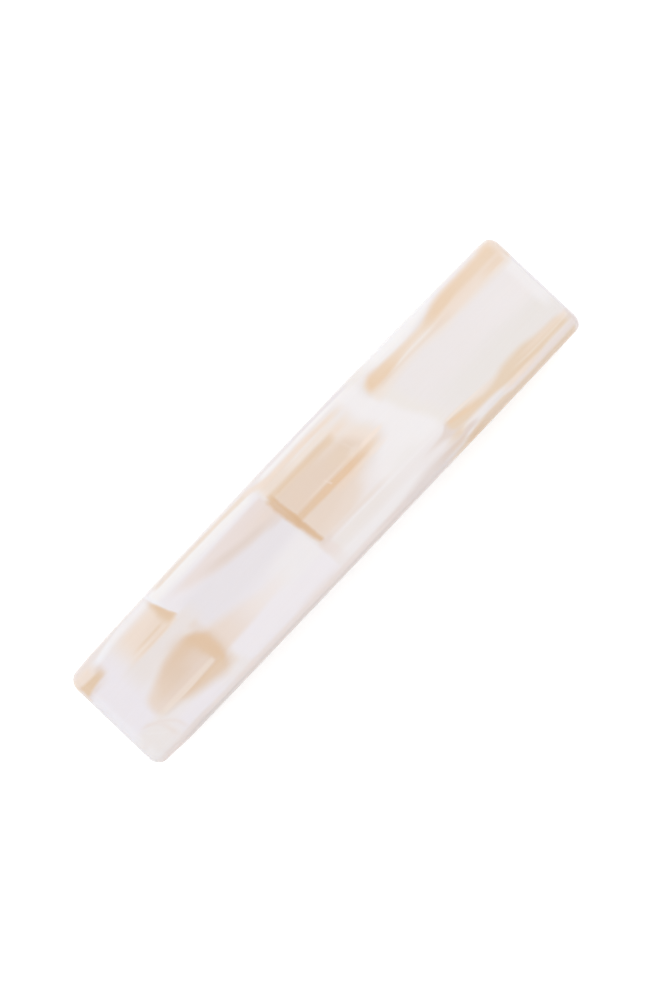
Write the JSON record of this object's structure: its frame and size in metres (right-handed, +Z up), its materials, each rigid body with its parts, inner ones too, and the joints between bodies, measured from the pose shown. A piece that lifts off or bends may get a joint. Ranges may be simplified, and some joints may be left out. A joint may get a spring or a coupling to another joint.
{
  "type": "hair barrette",
  "caption": "Arched rectangular hair barrette: a polished bar of marbled cream and tan acetate over a closed steel clasp that holds a lock of hair in its gap.",
  "frame": {"origin": "on the table under the middle of the bar, at the level of the clasp's feet", "axes": "+X along the bar towards the catch end of the clasp, +Y across the bar, +Z up through the crown of the arch"},
  "size_m": [0.1, 0.021, 0.0157],
  "materials": {
    "acetate": "polished cellulose acetate, pearl white marbled with cream and tan",
    "clasp_steel": "nickel plated spring steel, satin"
  },
  "bodies": {
    "root": {"acetate_bar": "acetate", "clasp": "clasp_steel"}
  },
  "joints": []
}
